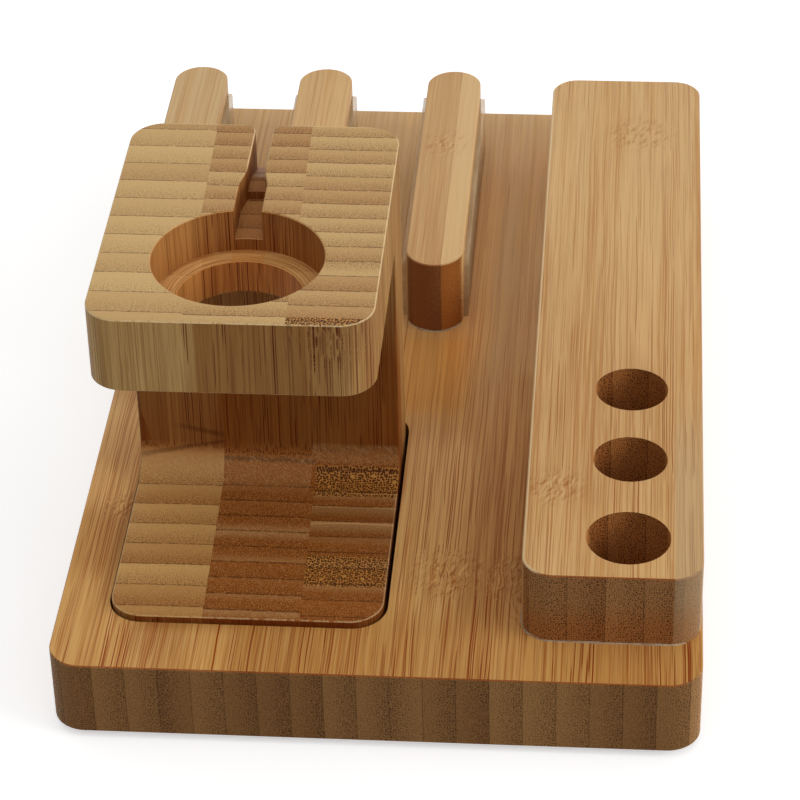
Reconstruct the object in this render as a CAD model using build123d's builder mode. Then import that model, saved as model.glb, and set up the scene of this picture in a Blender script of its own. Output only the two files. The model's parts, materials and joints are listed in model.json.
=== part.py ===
# Bamboo desk dock: slotted base, lift-out watch stand and pen block
import os
from math import radians, tan

from build123d import *

# Base board, as wide and deep as what stands on it
base_thick = 15.0
base_round = 6.0

# Eased edges of every wooden piece
edge_ease = 0.2

# Rubber feet
pad_wide = 10.0
pad_thick = 1.5
pad_inset = 12.5
pad_ease = 0.3

# Watch stand
stand_wide = 49.0
stand_deep = 64.8
stand_over = 64.5
stand_round = 6.0
stand_side = 9.3
stand_front = 13.0
plate_thick = 14.4
post_thick = 20.2
toe_proud = 1.2
toe_cove = 6.0
plate_cove = 3.0

# Pocket in the base that the stand drops into
pocket_deep = 8.0
pocket_gap = 0.4
pocket_right_gap = 0.7

# Charging puck seat in the stand
puck_bore = 30.0
puck_deep = 8.2
push_bore = 22.0
puck_side = 24.15
puck_front = 20.35

# Cable way behind the puck seat
slot_wide = 3.2
slot_side = 24.1
slot_front_deep = 4.5
slot_back_deep = 9.0
slot_flat = 4.9
slot_mouth_round = 2.4
channel_wide = 5.0
channel_deep = 6.0
channel_back = 16.0
channel_taper = 4.5

# Pegs that hold the devices on edge
peg_wide = 11.4
peg_long = 78.0
peg_tall = 15.9
peg_side = 0.3
peg_back = 9.4
peg_front = 28.8
left_lane = 16.0
middle_lane = 16.7
right_lane = 15.8

# Silicone strips on the pegs
strip_thick = 1.0
strip_tall = 12.9
strip_round = 1.2

# Pen block
block_wide = 31.7
block_tall = 14.7
block_round = 5.5
block_side = 0.3
block_front = 11.0
block_back = 10.0

# Pen holes
big_pen_bore = 15.0
pen_bore = 13.6
pen_side = 13.2
pen_front = 11.3
pen_step_front = 23.2
pen_step_back = 22.0

# Wood screws
screw_wide = 3.5
screw_bite = 10.5
screw_head = 7.0
screw_head_angle = 82.0
screw_sunk = 0.3
screw_gap = 0.1
recess_long = 4.2
recess_wide = 0.9
recess_deep = 1.2
peg_screw_inset = 16.0
block_screw_front = 12.0
block_screw_back = 20.0

# Overrun of every cut
cut_over = 1.0

# Levels
under_z = pad_thick
deck_z = under_z + base_thick
pocket_z = deck_z - pocket_deep
toe_z = deck_z + toe_proud
plate_z = deck_z + stand_over
plate_under_z = plate_z - plate_thick

# Sides of the base
peg_count = 3
lanes = left_lane + middle_lane + right_lane
base_wide = peg_side + peg_count * peg_wide + lanes + block_wide + block_side
base_deep = stand_front + stand_deep + peg_front + peg_long + peg_back
left_x = -base_wide / 2
right_x = base_wide / 2
front_y = -base_deep / 2
back_y = base_deep / 2

# Places of the stand
stand_left_x = left_x + stand_side
stand_front_y = front_y + stand_front
stand_back_y = stand_front_y + stand_deep
stand_x = stand_left_x + stand_wide / 2
stand_y = stand_front_y + stand_deep / 2
post_y = stand_back_y - post_thick
puck_x = stand_left_x + puck_side
puck_y = stand_front_y + puck_front
slot_x = stand_left_x + slot_side
channel_y = stand_back_y - channel_back
shoulder_y = channel_y - channel_taper
slot_crease_y = channel_y + slot_flat

# Places of the pegs
peg_y = back_y - peg_back - peg_long / 2
left_peg_x = left_x + peg_side + peg_wide / 2
middle_peg_x = left_peg_x + peg_wide + left_lane
right_peg_x = middle_peg_x + peg_wide + middle_lane
strip_long = peg_long - peg_wide

# Places of the block
block_x = right_x - block_side - block_wide / 2
block_left_x = block_x - block_wide / 2
block_front_y = front_y + block_front
block_back_y = back_y - block_back
block_y = (block_front_y + block_back_y) / 2
block_deep = block_back_y - block_front_y
pen_x = block_x + block_wide / 2 - pen_side
pen_1_y = block_front_y + pen_front
pen_2_y = pen_1_y + pen_step_front
pen_3_y = pen_2_y + pen_step_back

# Places of the screws
peg_screw_y = (peg_y - peg_long / 2 + peg_screw_inset, peg_y + peg_long / 2 - peg_screw_inset)
peg_screw_places = [(x, y) for x in (left_peg_x, middle_peg_x, right_peg_x) for y in peg_screw_y]
block_screw_places = [
    ((block_left_x + pen_x - big_pen_bore / 2) / 2, block_front_y + block_screw_front),
    (block_x, (pen_3_y + block_back_y) / 2),
    (block_x, block_back_y - block_screw_back),
]
screw_head_z = under_z + screw_sunk
screw_top_z = deck_z + screw_bite
screw_flare = tan(radians(screw_head_angle / 2))
screw_hole = screw_wide / 2 + screw_gap
screw_sink = screw_head / 2 + screw_gap + screw_sunk * screw_flare

os.makedirs("parts", exist_ok=True)


def save(piece, label):
    """Label a finished piece and write it to its own file."""
    piece.part.label = label
    export_step(piece.part, f"parts/{label}.step")


def facing_down(x, y, z):
    """A plane at a point, looking down, to drill upwards from."""
    return Plane(origin=(x, y, z), x_dir=(1, 0, 0), z_dir=(0, 0, -1))


def ease_top(piece):
    """Break the sharp rim of a piece's highest face."""
    chamfer(piece.faces().sort_by(Axis.Z)[-1].outer_wire().edges(), edge_ease)


# Base board with the stand's pocket and countersunk screw holes
with BuildPart() as base_board:
    with BuildSketch(Plane.XY.offset(under_z)):
        RectangleRounded(base_wide, base_deep, base_round)
    extrude(amount=base_thick)
    ease_top(base_board)
    chamfer(base_board.faces().sort_by(Axis.Z)[0].outer_wire().edges(), edge_ease)
    with BuildSketch(Plane.XY.offset(deck_z)):
        with Locations((stand_x + (pocket_right_gap - pocket_gap) / 2, stand_y)):
            RectangleRounded(
                stand_wide + pocket_gap + pocket_right_gap,
                stand_deep + 2 * pocket_gap,
                stand_round + pocket_gap,
            )
    extrude(amount=-pocket_deep, mode=Mode.SUBTRACT)
    with Locations(*[facing_down(x, y, under_z) for x, y in peg_screw_places + block_screw_places]):
        CounterSinkHole(
            radius=screw_hole,
            counter_sink_radius=screw_sink,
            depth=base_thick + cut_over,
            counter_sink_angle=screw_head_angle,
        )
save(base_board, "base_board")

# Watch stand, one piece with its toe, post and plate
with BuildPart() as watch_stand:
    with BuildSketch(Plane.XY.offset(pocket_z)):
        with Locations((stand_x, stand_y)):
            RectangleRounded(stand_wide, stand_deep, stand_round)
    extrude(amount=plate_z - pocket_z)
    with BuildSketch(Plane.YZ.offset(stand_x)) as opening:
        with BuildLine():
            Polyline(
                (stand_front_y - cut_over, toe_z),
                (post_y, toe_z),
                (post_y, plate_under_z),
                (stand_front_y - cut_over, plate_under_z),
                close=True,
            )
        make_face()
        inner_corners = opening.vertices().group_by(Axis.X)[-1].sort_by(Axis.Y)
        fillet(inner_corners[0], toe_cove)
        fillet(inner_corners[-1], plate_cove)
    extrude(amount=stand_wide / 2 + cut_over, both=True, mode=Mode.SUBTRACT)
    rims = watch_stand.edges().filter_by_position(Axis.Y, stand_front_y, post_y)
    rims = rims.filter_by_position(Axis.Z, toe_z, plate_under_z)
    creases = rims.filter_by(Axis.X).filter_by_position(
        Axis.Y, stand_front_y, post_y, inclusive=(False, True)
    )
    chamfer(rims - creases, edge_ease)
    with Locations((puck_x, puck_y, plate_z)):
        CounterBoreHole(
            radius=push_bore / 2,
            counter_bore_radius=puck_bore / 2,
            counter_bore_depth=puck_deep,
            depth=plate_thick + cut_over,
        )
    with BuildSketch(Plane.XY.offset(plate_z)):
        with BuildLine():
            Polyline(
                (slot_x - channel_wide / 2, puck_y),
                (slot_x - channel_wide / 2, shoulder_y),
                (slot_x - slot_wide / 2, channel_y),
                (slot_x + slot_wide / 2, channel_y),
                (slot_x + channel_wide / 2, shoulder_y),
                (slot_x + channel_wide / 2, puck_y),
                close=True,
            )
        make_face()
    extrude(amount=-channel_deep, mode=Mode.SUBTRACT)
    with BuildSketch(Plane.YZ.offset(slot_x)):
        with BuildLine():
            Polyline(
                (channel_y, plate_z + cut_over),
                (channel_y, plate_z - slot_front_deep),
                (slot_crease_y, plate_z - slot_front_deep),
                (stand_back_y, plate_z - slot_back_deep),
                (stand_back_y + cut_over, plate_z - slot_back_deep),
                (stand_back_y + cut_over, plate_z + cut_over),
                close=True,
            )
        make_face()
    extrude(amount=slot_wide / 2, both=True, mode=Mode.SUBTRACT)
    back_edges = watch_stand.edges().filter_by(Axis.Z).group_by(Axis.Y)[-1]
    mouth_edges = back_edges.sort_by(lambda edge: abs(edge.center().X - slot_x))[:2]
    fillet(mouth_edges, slot_mouth_round)
    ease_top(watch_stand)
save(watch_stand, "watch_stand")

# Pen block with three drilled holes
with BuildPart() as pen_block:
    with BuildSketch(Plane.XY.offset(deck_z)):
        with Locations((block_x, block_y)):
            RectangleRounded(block_wide, block_deep, block_round)
        with Locations((pen_x, pen_1_y)):
            Circle(big_pen_bore / 2, mode=Mode.SUBTRACT)
        with Locations((pen_x, pen_2_y), (pen_x, pen_3_y)):
            Circle(pen_bore / 2, mode=Mode.SUBTRACT)
    extrude(amount=block_tall)
    ease_top(pen_block)
    with Locations(*[facing_down(x, y, deck_z) for x, y in block_screw_places]):
        Hole(screw_hole, depth=screw_bite + screw_gap)
save(pen_block, "pen_block")


def make_peg(x, label):
    """One upright peg with rounded ends, drilled for its two screws."""
    with BuildPart() as peg:
        with BuildSketch(Plane.XY.offset(deck_z)):
            with Locations((x, peg_y)):
                SlotOverall(peg_long, peg_wide, rotation=90)
        extrude(amount=peg_tall)
        ease_top(peg)
        with Locations(*[facing_down(x, y, deck_z) for y in peg_screw_y]):
            Hole(screw_hole, depth=screw_bite + screw_gap)
    save(peg, label)


def make_strip(x, side, label):
    """One silicone strip on a peg's flat side: side is -1 for left, 1 for right."""
    with BuildPart() as strip:
        with BuildSketch(Plane.YZ.offset(x + side * peg_wide / 2)) as face:
            with Locations((peg_y, deck_z + strip_tall / 2)):
                Rectangle(strip_long, strip_tall)
            fillet(face.vertices().group_by(Axis.Y)[-1], strip_round)
        extrude(amount=side * strip_thick)
    save(strip, label)


make_peg(left_peg_x, "peg_left")
make_peg(middle_peg_x, "peg_middle")
make_peg(right_peg_x, "peg_right")
make_strip(left_peg_x, 1, "strip_left_peg_right")
make_strip(middle_peg_x, -1, "strip_middle_peg_left")
make_strip(middle_peg_x, 1, "strip_middle_peg_right")
make_strip(right_peg_x, -1, "strip_right_peg_left")
make_strip(right_peg_x, 1, "strip_right_peg_right")


# Countersunk wood screw, driven up from below
with BuildPart() as screw:
    with BuildSketch(Plane.XZ):
        with BuildLine():
            Polyline(
                (0, screw_head_z),
                (screw_head / 2, screw_head_z),
                (screw_wide / 2, screw_head_z + (screw_head - screw_wide) / 2 / screw_flare),
                (screw_wide / 2, screw_top_z),
                (0, screw_top_z),
                close=True,
            )
        make_face()
    revolve(axis=Axis.Z)
    with BuildSketch(Plane.XY.offset(screw_head_z)):
        Rectangle(recess_long, recess_wide)
        Rectangle(recess_wide, recess_long)
    extrude(amount=recess_deep, mode=Mode.SUBTRACT)

with BuildPart() as peg_screws:
    with Locations(*peg_screw_places):
        add(screw.part)
save(peg_screws, "peg_screws")

with BuildPart() as block_screws:
    with Locations(*block_screw_places):
        add(screw.part)
save(block_screws, "block_screws")


def make_foot(x, y, label):
    """One rubber foot, glued flat to the underside."""
    with BuildPart() as rubber_foot:
        with BuildSketch():
            with Locations((x, y)):
                Circle(pad_wide / 2)
        extrude(amount=pad_thick)
        chamfer(rubber_foot.edges().group_by(Axis.Z)[0], pad_ease)
    save(rubber_foot, label)


make_foot(left_x + pad_inset, front_y + pad_inset, "rubber_foot_front_left")
make_foot(right_x - pad_inset, front_y + pad_inset, "rubber_foot_front_right")
make_foot(left_x + pad_inset, back_y - pad_inset, "rubber_foot_back_left")
make_foot(right_x - pad_inset, back_y - pad_inset, "rubber_foot_back_right")
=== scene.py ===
import json
from collections import namedtuple
from math import cos, pi, radians, sin
from types import SimpleNamespace

import bpy
from mathutils import Matrix, Vector, noise


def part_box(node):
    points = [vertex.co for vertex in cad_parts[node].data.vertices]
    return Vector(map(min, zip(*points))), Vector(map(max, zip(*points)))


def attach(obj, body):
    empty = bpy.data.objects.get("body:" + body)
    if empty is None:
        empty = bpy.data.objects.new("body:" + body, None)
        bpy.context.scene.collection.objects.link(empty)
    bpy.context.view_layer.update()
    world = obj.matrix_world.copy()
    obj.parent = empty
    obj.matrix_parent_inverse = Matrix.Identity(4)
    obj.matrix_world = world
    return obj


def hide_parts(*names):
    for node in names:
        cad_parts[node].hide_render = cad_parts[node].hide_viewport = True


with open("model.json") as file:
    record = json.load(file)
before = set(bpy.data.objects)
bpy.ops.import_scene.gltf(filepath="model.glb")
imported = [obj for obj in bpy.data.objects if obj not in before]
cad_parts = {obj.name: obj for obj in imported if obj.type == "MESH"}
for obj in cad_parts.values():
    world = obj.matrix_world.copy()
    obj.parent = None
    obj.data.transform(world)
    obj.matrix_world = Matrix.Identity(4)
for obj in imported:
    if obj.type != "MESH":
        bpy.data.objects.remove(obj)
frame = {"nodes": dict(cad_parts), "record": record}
nodes = frame["nodes"]
scene = bpy.context.scene
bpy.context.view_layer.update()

MM = 0.001

# The camera that the photograph's perspective gives, in pixels of its own frame, degrees and metres
PHOTO_WIDE = 800
FOCAL_PX = 3112.8
CENTRE_PX = (393.0, 357.6)
CAMERA_PITCH = -34.74
CAMERA_YAW = 5.17
CAMERA_ROLL = -1.45
CAMERA_PLACE = Vector((42.4, -507.7, 370.0)) * MM
SENSOR_WIDE = 36
CAMERA_SEES = 20

# Light, where 1 is the white of the background
LOW_LIGHT = 0.06
HIGH_LIGHT = 0.88
WALL_LIGHT = 1.35

# The floor: half its side in metres, its greys for bounced light and for the camera, and its glow
FLOOR_HALF = 3.0
FLOOR_BOUNCED = (0.3, 0.3, 0.3, 1.0)
FLOOR_SEEN = (0.8, 0.8, 0.8, 1.0)
FLOOR_GLOW = 0.5
WHITE = (1.0, 1.0, 1.0, 1.0)


class Shader:
    """Writes nodes in short calls. A value is a number, a tuple or a socket."""

    def __init__(self, owner):
        owner.use_nodes = True
        self.owner = owner
        self.tree = owner.node_tree
        self.tree.nodes.clear()

    def put(self, socket, value):
        if isinstance(value, bpy.types.NodeSocket):
            self.tree.links.new(value, socket)
        elif value is not None:
            socket.default_value = value

    def node(self, kind, inputs=None, **settings):
        made = self.tree.nodes.new("ShaderNode" + kind)
        for name, value in settings.items():
            setattr(made, name, value)
        for name, value in (inputs or {}).items():
            self.put(made.inputs[name], value)
        return made

    def math(self, operation, *values, clamp=False):
        made = self.node("Math", operation=operation, use_clamp=clamp)
        for socket, value in zip(made.inputs, values):
            self.put(socket, value)
        return made.outputs[0]

    def add(self, first, *others):
        for other in others:
            first = self.math("ADD", first, other)
        return first

    def sub(self, first, second):
        return self.math("SUBTRACT", first, second)

    def mul(self, first, *others):
        for other in others:
            first = self.math("MULTIPLY", first, other)
        return first

    def blend(self, low, high, share):
        """A number that goes from low to high as share goes from 0 to 1."""
        return self.math("MULTIPLY_ADD", share, self.sub(high, low), low)

    def step(self, value, low, high):
        """0 below low and 1 above high, or the other way round where low is the larger."""
        made = self.node("MapRange", interpolation_type="SMOOTHSTEP")
        for socket, number in zip(made.inputs, (value, low, high, 0.0, 1.0)):
            self.put(socket, number)
        return made.outputs[0]

    def colour(self, share, first, second, kind="MIX"):
        """The first colour with a share of the second over it, by a Mix node's colour sockets."""
        made = self.node("Mix", data_type="RGBA", blend_type=kind)
        made.clamp_factor = True
        self.put(made.inputs[0], share)
        self.put(made.inputs[6], first)
        self.put(made.inputs[7], second)
        return made.outputs[2]

    def lay(self, below, above, *shares):
        """One colour over another, by the product of the shares."""
        return self.colour(self.mul(*shares), below, above)

    def tint(self, below, above, *shares):
        """The same, but the upper colour multiplies the lower."""
        return self.colour(self.mul(*shares), below, above, "MULTIPLY")

    def vector(self, x, y, z=0.0):
        return self.node("CombineXYZ", {"X": x, "Y": y, "Z": z}).outputs[0]

    def noise(self, x, y, z, detail=2.0, rough=0.5):
        """Smooth noise about 0.5, from coordinates that carry their own scale."""
        inputs = {"Vector": self.vector(x, y, z), "Scale": 1.0, "Detail": detail, "Roughness": rough}
        return self.node("TexNoise", inputs).outputs[0]

    def pattern(self, point, rates, detail=2.0, rough=0.5, shift=None):
        """Noise that changes at its own rate along each axis, and may be shifted along the last."""
        x, y, z = (self.mul(value, rate) for value, rate in zip(point, rates))
        if shift is not None:
            z = self.add(z, shift)
        return self.noise(x, y, z, detail, rough)

    def away(self, point, centre):
        """How far a point lies from a fixed one."""
        made = self.node("VectorMath", {0: self.vector(*point), 1: centre}, operation="DISTANCE")
        return made.outputs["Value"]

    def random(self, x, y=0.0):
        """Three steady random numbers for a pair of whole numbers."""
        made = self.node("TexWhiteNoise", {"Vector": self.vector(x, y)}, noise_dimensions="2D")
        return self.node("SeparateColor", {0: made.outputs["Color"]}).outputs[:3]

    def place(self):
        """Where a point lies on the object at rest, in millimetres."""
        made = self.node("TexCoord")
        scaled = self.node("VectorMath", {0: made.outputs["Object"], "Scale": 1 / MM}, operation="SCALE")
        return self.node("SeparateXYZ", {0: scaled.outputs[0]}).outputs[:3]

    def facing(self):
        """How far the surface faces each axis of the object, either way."""
        made = self.node("TexCoord")
        split = self.node("SeparateXYZ", {0: made.outputs["Normal"]})
        return [self.math("ABSOLUTE", socket) for socket in split.outputs[:3]]

    def finish(self, surface, height=None, depth=0.0):
        """Ends the material with one principled surface and, if wanted, a bump in millimetres."""
        shader = self.node("BsdfPrincipled", surface)
        if height is not None:
            bump = self.node("Bump", {"Height": height, "Distance": depth * MM, "Strength": 1.0})
            self.put(shader.inputs["Normal"], bump.outputs[0])
        output = self.node("OutputMaterial")
        self.tree.links.new(shader.outputs[0], output.inputs[0])
        return self.owner


def rgb(*parts):
    """A colour written as a screen shows it, put through the sRGB curve for the shader."""
    shares = [part / 255 for part in parts]
    linear = [share / 12.92 if share <= 0.04045 else ((share + 0.055) / 1.055) ** 2.4 for share in shares]
    return (*linear, 1.0)


def millimetres(node):
    """The lowest and highest corner of a node."""
    low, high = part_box(node)
    return low / MM, high / MM


def bores(start):
    """The middle in plan and the radius of each bore whose name in the record starts so."""
    return [(Vector((*mount["pos_m"][:2], 0.0)) / MM, mount["dims"]["r_mm"])
            for mount in frame["record"]["mounts"] if mount["name"].startswith(start)]


# Levels and sizes of the solids that the details follow
DECK = millimetres("base_board")[1].z
STAND_LOW, STAND_HIGH = millimetres("watch_stand")
TOE_TOP = DECK + 1.2
PLATE_FOOT = STAND_HIGH.z - 14.4
POST_FRONT = STAND_HIGH.y - 20.2
BLOCK_ROUND = 5.5

# How fast each pattern in the bamboo changes per millimetre along the stack of strips, their width
# and the fibres
BEND_RATES = (0.45, 0.25, 0.3)
SWAY_RATES = (0.12, 0.12, 0.03)
FIBRE_RATES = (3.8, 3.8, 0.06)
STRAND_RATES = (1.7, 1.7, 0.03)
THREAD_RATES = (2.6, 2.6, 0.018)
BAND_RATES = (0.8, 0.5, 0.012)
BROAD_RATES = (0.42, 0.3, 0.007)
CLOUD_RATES = (0.05, 0.05, 0.02)
SPECK_RATES = (4.5, 4.5, 4.5)
STROKE_RATES = (1.5, 0.6, 0.45)

# The same along the width and the fibres alone
DRIFT_RATES = (0.05, 0.012)
SEAM_RATES = (1.6, 0.02)

# How far the strips drift and the fibres swing, in millimetres, and lean, per millimetre
STRIP_DRIFT = 0.5
FIBRE_SWING = 1.4
FIBRE_SWAY = 0.6
FIBRE_LEAN = 0.014

# Joints of the cane: the shares of their reach that are all joint and that slant the fibres, and
# how much the fibres slant and bend and the dark strokes slant
KNOT_FULL = 0.3
KNOT_SLANTED = 0.7
KNOT_SLANT = 0.2
KNOT_BEND = 0.6
STROKE_SLANT = 0.4

# Vessels: how far they stray from a grid, their sizes, and the shares of their size at which
# their dots, streaks and pale sheaths are gone and full
VESSEL_STRAY = 0.75
VESSEL_SIZES = (0.6, 1.1)
NET_SIZE = 0.41
DOT_FADE = (1.2, 0.75)
STREAK_FADE = (1.15, 0.75)
SHEATH_FADE = (2.4, 1.5)

# Streaks come and go along the fibres, and faster in a joint
STREAK_RATE = 0.045
KNOT_STREAK_RATE = 0.4
STREAK_HIDDEN = 0.3

# Half widths of a seam, where it is full and in all, and over what a tint fades out
SEAM_FULL = 0.03
SEAM_WIDE = 0.16
TINT_FADE = 7.0

# Shifts that make each strip, column and streak differ from its neighbours
STRIP_SHIFTS = (91.0, 57.0)
COLUMN_SHIFT = 17.0
STREAK_SHIFT = 31.0
SEAM_SHIFT = 7.3
SWAY_SHIFT = 40.0

GLOSS = 0.1
BUMP = 0.03

# A column of strips: where they start and how thick they are, how dark it is at its top and at its foot,
# where on the stand the extra darkness is painted shade, and the edge where it starts and how much that
# leans
Column = namedtuple("Column", "start pitch tint_top tint_foot edge lean", defaults=(0.3, 0.3, 0, 0))

# Axes along which strips are stacked, wide and long: fibres along the board, or upright
FLAT, UPRIGHT = (0, 2, 1), (1, 0, 2)


def eased_edge(s, up):
    """1 on an eased edge, which faces half up or half down."""
    return s.mul(s.step(up, 0.35, 0.6), s.step(up, 0.95, 0.85))


def bamboo(name, axes, looks, columns, knots=(), seed=0.0, net=None, marks=None):
    """Laminated bamboo as a solid pattern, with columns of strips glued side by side. Each knot
    (x, y, z, reach) is a joint of the cane, net says where the end grain shows one, and marks lays
    more colours over the wood. Here a, w and f run along the stack, the strips' width and the
    fibres."""
    s = Shader(bpy.data.materials.new(name))
    look = SimpleNamespace(**looks)
    place, facing = s.place(), s.facing()
    a, w, f = (place[axis] for axis in axes)
    end = s.step(facing[axes[2]], 0.15, 0.45)

    # Joints of the cane bend and break up the fibres
    knot = 0.0
    slant = 0.0
    for *centre, reach in knots:
        away = s.away(place, centre)
        knot = s.math("MAXIMUM", knot, s.step(away, reach, reach * KNOT_FULL))
        core = s.step(away, reach * KNOT_SLANTED, 0.0)
        slant = s.add(slant, s.mul(core, s.sub(f, centre[axes[2]]), KNOT_SLANT))
    if knots:
        bend = s.sub(s.pattern((a, w, f), BEND_RATES), 0.5)
        a = s.add(a, slant, s.mul(bend, knot, KNOT_BEND))
    here = (a, w, f)

    # Columns of strips
    gates = [s.math("GREATER_THAN", s.sub(w, s.mul(a, column.lean)), column.edge) for column in columns[1:]]

    def per_column(which):
        values = [getattr(column, which) for column in columns]
        total = values[0]
        for gate, before, after in zip(gates, values, values[1:]):
            total = s.add(total, s.mul(gate, after - before))
        return total

    start, pitch = per_column("start"), per_column("pitch")
    # On the stand the tint grows towards the foot at the front, which is painted shade under the plate
    shade_fall = s.step(f, look.tint_from, look.tint_to)
    shade_fall = s.mul(shade_fall, s.step(a, look.tint_back, look.tint_back - TINT_FADE))
    tint = s.blend(per_column("tint_top"), per_column("tint_foot"), shade_fall)
    varied = s.add(look.strip_share, s.mul(tint, look.tint_varied))
    number = 0.0
    for gate in gates:
        number = s.add(number, gate)

    # Strips
    drift = s.noise(s.mul(w, DRIFT_RATES[0]), s.mul(f, DRIFT_RATES[1]), seed, 1.0)
    drift = s.mul(s.sub(drift, 0.5), STRIP_DRIFT)
    stacked = s.math("DIVIDE", s.add(s.sub(a, start), drift), pitch)
    strip = s.math("FLOOR", stacked)
    inside = s.math("FRACT", stacked)
    tone, hue, luck = s.random(s.add(strip, s.mul(number, COLUMN_SHIFT)), seed)
    flip = s.math("GREATER_THAN", luck, look.flip_above)
    if look.dense_low:
        flip = s.sub(1.0, flip)
    dense = s.math("ABSOLUTE", s.sub(inside, flip))

    # Vessels: dots where the strip is cut across, streaks where it is cut lengthwise
    wave = s.pattern(here, SWAY_RATES)
    sway = s.pattern((w, a, f), SWAY_RATES, shift=SWAY_SHIFT)
    u = s.add(a, s.mul(f, s.sub(hue, 0.5), FIBRE_LEAN))
    u = s.add(u, s.mul(s.sub(wave, 0.5), FIBRE_SWING))
    v = s.add(w, s.mul(f, s.sub(tone, 0.5), FIBRE_LEAN))
    v = s.add(v, s.mul(s.sub(sway, 0.5), FIBRE_SWAY))
    spot = s.vector(s.add(s.math("DIVIDE", u, look.cell), s.mul(tone, STRIP_SHIFTS[0])),
                    s.add(s.math("DIVIDE", v, look.cell), s.mul(luck, STRIP_SHIFTS[1])))
    vessel = s.node("TexVoronoi", {"Vector": spot, "Scale": 1.0, "Randomness": VESSEL_STRAY},
                    voronoi_dimensions="2D")
    chance = s.node("SeparateColor", {0: vessel.outputs["Color"]}).outputs[:3]

    def near_vessel(size, fade):
        return s.step(vessel.outputs["Distance"], s.mul(size, fade[0]), s.mul(size, fade[1]))

    crowd = s.step(dense, 0.0, 1.0)
    size = s.blend(look.small, look.large, crowd)
    size = s.mul(size, s.blend(*VESSEL_SIZES, chance[0]))
    netted = net(s, place) if net else 0.0
    size = s.blend(size, NET_SIZE, netted)
    mark = near_vessel(size, DOT_FADE)
    wider = s.mul(size, look.widen)
    line = near_vessel(wider, STREAK_FADE)
    breaks = s.blend(STREAK_RATE, KNOT_STREAK_RATE, knot) if knots else STREAK_RATE
    fade = s.pattern((*chance[:2], f), (STREAK_SHIFT, STREAK_SHIFT, breaks), 1.0)
    hidden = s.blend(STREAK_HIDDEN, look.knot_hidden, knot) if knots else STREAK_HIDDEN
    strength = s.mul(s.step(s.sub(fade, hidden), 0.0, 0.12), s.blend(0.2, 1.0, chance[1]))
    streak = s.mul(line, strength)
    sheath = s.mul(near_vessel(wider, SHEATH_FADE), strength)
    dotted = s.mul(tint, look.tint_dotted)
    dot = s.mul(mark, s.blend(s.add(look.sparse, dotted), 1.0, crowd))
    dot = s.mul(dot, s.math("ADD", s.mul(dotted, 2.2), look.dot_pale, clamp=True))
    dot = s.blend(dot, mark, netted)

    # Fibres, and slow changes of tone
    fibre = s.pattern(here, FIBRE_RATES, 3.0, 0.6)
    strand = s.pattern(here, STRAND_RATES, 2.0, 0.6)
    band = s.pattern(here, BAND_RATES)
    cloud = s.pattern(here, CLOUD_RATES, shift=seed)
    speck = s.pattern(here, SPECK_RATES)
    seam = s.math("MINIMUM", inside, s.sub(1.0, inside))
    broken = s.pattern((w, f, strip), (*SEAM_RATES, SEAM_SHIFT))
    wide = s.add(SEAM_WIDE, s.mul(tint, look.seam_wide))
    seam = s.mul(s.step(s.mul(seam, pitch), wide, SEAM_FULL), s.step(broken, 0.3, 0.55))
    away = s.step(f, look.calm_from, look.calm_to)
    calm = s.blend(1.0, look.calm, away)

    # Colours of the sides, along the fibres
    shade = s.add(s.mul(s.sub(tone, 0.5), varied), s.mul(s.sub(band, 0.5), 1.3))
    shade = s.add(shade, s.mul(tint, look.tint_long), s.mul(s.sub(crowd, 0.5), 0.2))
    colour = s.colour(shade, look.pale, look.deep)
    colour = s.lay(colour, look.cloud, s.step(cloud, 0.5, 0.7), calm, 0.5)
    # The far tone is a painted sheen: the sides turn paler and greyer towards the back
    colour = s.lay(colour, look.far, away, look.far_share)
    colour = s.lay(colour, look.cloud, knot, 0.15) if knots else colour
    broad = s.pattern(here, BROAD_RATES, 3.0, 0.6, shift=seed)
    colour = s.lay(colour, look.warm, s.step(broad, 0.46, 0.64), look.warm_share)
    light = s.colour(s.mul(tint, look.tint_long), look.fibre, look.fibre_deep)
    colour = s.lay(colour, light, s.step(fibre, 0.45, 0.75), 0.45)
    colour = s.lay(colour, look.streak, s.step(fibre, 0.47, 0.25), calm, 0.4)
    colour = s.lay(colour, light, s.step(strand, 0.5, 0.68), look.strand)
    colour = s.lay(colour, look.soft, s.step(strand, 0.46, 0.28), look.strand * 0.5)
    thread = s.step(s.pattern(here, THREAD_RATES, 1.0), 0.56, 0.66)
    colour = s.lay(colour, look.thread, thread, calm, look.thread_share)
    colour = s.lay(colour, light, sheath, calm, 0.45)
    lined = s.mul(calm, s.math("ADD", s.mul(tint, 3.0), 0.4, clamp=True))
    colour = s.lay(colour, look.streak, streak, lined, look.streak_share)
    colour = s.lay(colour, look.streak, seam, calm, 0.3)
    if knots:
        stroke = s.pattern((s.sub(a, s.mul(f, STROKE_SLANT)), w, f), STROKE_RATES)
        share = s.mul(knot, look.stroke)
        dark = s.mul(s.step(stroke, 0.53, 0.65), share)
        colour = s.lay(colour, look.streak, dark, s.blend(0.25, 1.0, calm))
        colour = s.lay(colour, light, s.step(stroke, 0.44, 0.32), share)

    # Colours of the ends, across the fibres
    slope = s.mul(s.step(dense, 0.1, 1.0), s.add(look.slope, s.mul(tint, look.tint_slope)))
    shade = s.add(s.mul(s.sub(tone, 0.4), varied), slope, tint)
    cut = s.colour(shade, look.end_pale, look.end_deep)
    grain = s.add(look.grain, s.mul(dotted, 0.4))
    grainy = s.mul(s.blend(0.5, 1.0, crowd), grain)
    cut = s.lay(cut, look.dot, s.step(speck, 0.44, 0.62), grainy)
    cut = s.lay(cut, look.end_pale, s.step(speck, 0.5, 0.36), grain, 0.7)
    cut = s.lay(cut, look.net, netted, 0.6)
    cut = s.lay(cut, look.dot, dot, look.dot_share)
    cut = s.lay(cut, look.net_dot, mark, netted, 0.7)
    cut = s.lay(cut, look.dot, seam, look.seam_share)
    colour = s.lay(colour, cut, end)
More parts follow.
